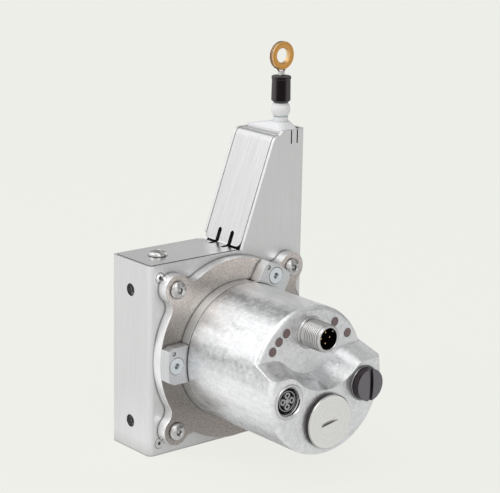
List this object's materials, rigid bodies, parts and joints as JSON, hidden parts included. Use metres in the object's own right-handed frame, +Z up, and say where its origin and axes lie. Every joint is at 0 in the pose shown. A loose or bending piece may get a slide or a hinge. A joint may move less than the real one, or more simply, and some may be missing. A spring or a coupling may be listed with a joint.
{
  "type": "draw wire encoder",
  "caption": "Draw wire encoder: flat folded-sheet housing with a spring-wound wire drum and an upright outlet tower, and a round rotary encoder clamped to its front.",
  "frame": {"origin": "centre of the housing's bottom face", "axes": "+Z up, along the pulled wire; -Y from the housing towards the encoder, along the drum axis; +X towards the wire outlet"},
  "size_m": [0.083, 0.0969, 0.1695],
  "materials": {
    "housing_sheet": "fine brushed, natural",
    "machined_aluminium": "machined, natural",
    "cast_aluminium": "satin die-cast, blasted",
    "screw_steel": "bright, zinc plated",
    "shaft_steel": "ground",
    "spring_steel": "blued strip",
    "wire_steel": "stranded stainless wire",
    "nickel_plate": "satin nickel plate",
    "contact_gold": "gold plated",
    "eye_copper": "bare copper alloy",
    "pillar_brass": "turned",
    "white_plastic": "natural white",
    "black_plastic": "moulded",
    "grey_plastic": "moulded",
    "lamp_plastic": "smoked light guide",
    "board_laminate": "green laminate",
    "switch_plastic": "moulded",
    "disc_glass": "code disc glass",
    "ceramic": "glazed ceramic",
    "felt": "pressed felt",
    "rubber": "matt black"
  },
  "bodies": {
    "housing": {"housing_shell": "housing_sheet", "closing_strip": "housing_sheet", "base_plate": "housing_sheet", "upper_left_block": "machined_aluminium", "lower_left_block": "machined_aluminium", "lower_right_block": "machined_aluminium", "upper_right_block": "machined_aluminium", "housing_screws": "screw_steel", "top_screw": "screw_steel", "flange_plate": "machined_aluminium", "flange_screws": "screw_steel", "servo_clamps": "machined_aluminium", "clamp_screws": "screw_steel", "encoder_ring": "machined_aluminium", "encoder_bearing_outers": "shaft_steel", "encoder_body": "cast_aluminium", "scan_head": "black_plastic", "main_board": "board_laminate", "connector_board": "board_laminate", "board_pillars": "pillar_brass", "plug_shell": "nickel_plate", "plug_insert": "black_plastic", "plug_pins": "contact_gold", "left_port_shell": "nickel_plate", "left_port_insert": "grey_plastic", "right_port_shell": "nickel_plate", "right_port_insert": "grey_plastic", "status_windows": "lamp_plastic", "switch_bases": "switch_plastic", "mainspring": "spring_steel", "spring_case": "black_plastic", "case_cover": "white_plastic", "front_bearing_outer": "shaft_steel", "rear_bearing_outer": "shaft_steel", "outlet_insert": "white_plastic", "wire_bush": "ceramic", "wiper": "felt"},
    "drum": {"drum_shaft": "shaft_steel", "drum": "machined_aluminium", "wire_winding": "wire_steel", "spring_arbor": "shaft_steel", "front_bearing_inner": "shaft_steel", "rear_bearing_inner": "shaft_steel", "encoder_shaft": "shaft_steel", "disc_hub": "shaft_steel", "code_disc": "disc_glass", "encoder_bearing_inners": "shaft_steel"},
    "wire_end": {"wire_lead": "wire_steel", "ball_stop": "white_plastic", "rubber_sleeve": "rubber", "ferrule": "wire_steel", "wire_loop": "wire_steel", "thimble": "eye_copper"},
    "port_plug": {"port_plug": "grey_plastic"},
    "port_plug_seal": {"port_plug_seal": "rubber"},
    "screw_cap": {"screw_cap": "nickel_plate"},
    "screw_cap_seal": {"screw_cap_seal": "rubber"},
    "left_dial": {"left_dial": "white_plastic"},
    "right_dial": {"right_dial": "white_plastic"},
    "preset_button": {"preset_button": "white_plastic"}
  },
  "joints": [
    {"name": "drum_spin", "type": "hinge", "parent": "housing", "child": "drum", "pos_m": [0, 0, 0.042], "axis": [0, -1, 0], "range_deg": [0, 3274], "stiffness_Nm_per_rad": 0.00245, "springref_deg": -4910.25},
    {"name": "wire_draw", "type": "slide", "parent": "housing", "child": "wire_end", "axis": [0, 0, 1], "range_m": [0, 2], "deforming": ["wire_lead"]},
    {"name": "cap_lift", "type": "slide", "parent": "housing", "child": "screw_cap_seal", "axis": [0, -1, 0], "range_m": [0, 0.006]},
    {"name": "cap_turn", "type": "hinge", "parent": "screw_cap_seal", "child": "screw_cap", "pos_m": [0, -0.0785, 0.0266], "axis": [0, -1, 0], "range_deg": [0, 1440]},
    {"name": "port_plug_lift", "type": "slide", "parent": "housing", "child": "port_plug_seal", "axis": [0, -1, 0], "range_m": [0, 0.005]},
    {"name": "port_plug_turn", "type": "hinge", "parent": "port_plug_seal", "child": "port_plug", "pos_m": [0.0202, -0.0785, 0.0386], "axis": [0, -1, 0], "range_deg": [0, 1800]},
    {"name": "left_dial_turn", "type": "hinge", "parent": "housing", "child": "left_dial", "pos_m": [-0.0046, -0.065, 0.0288], "axis": [0, -1, 0], "continuous": true},
    {"name": "right_dial_turn", "type": "hinge", "parent": "housing", "child": "right_dial", "pos_m": [0.0046, -0.065, 0.0288], "axis": [0, -1, 0], "continuous": true},
    {"name": "preset_press", "type": "slide", "parent": "housing", "child": "preset_button", "axis": [0, 1, 0], "range_m": [0, 0.0005], "stiffness_N_per_m": 400, "springref_m": -0.0005}
  ],
  "couplings": [
    {"joint": "wire_draw", "follows": "drum_spin", "m_per_rad": 0.035},
    {"joint": "cap_turn", "follows": "cap_lift", "rad_per_m": 4188.8},
    {"joint": "port_plug_turn", "follows": "port_plug_lift", "rad_per_m": 6283.2}
  ]
}
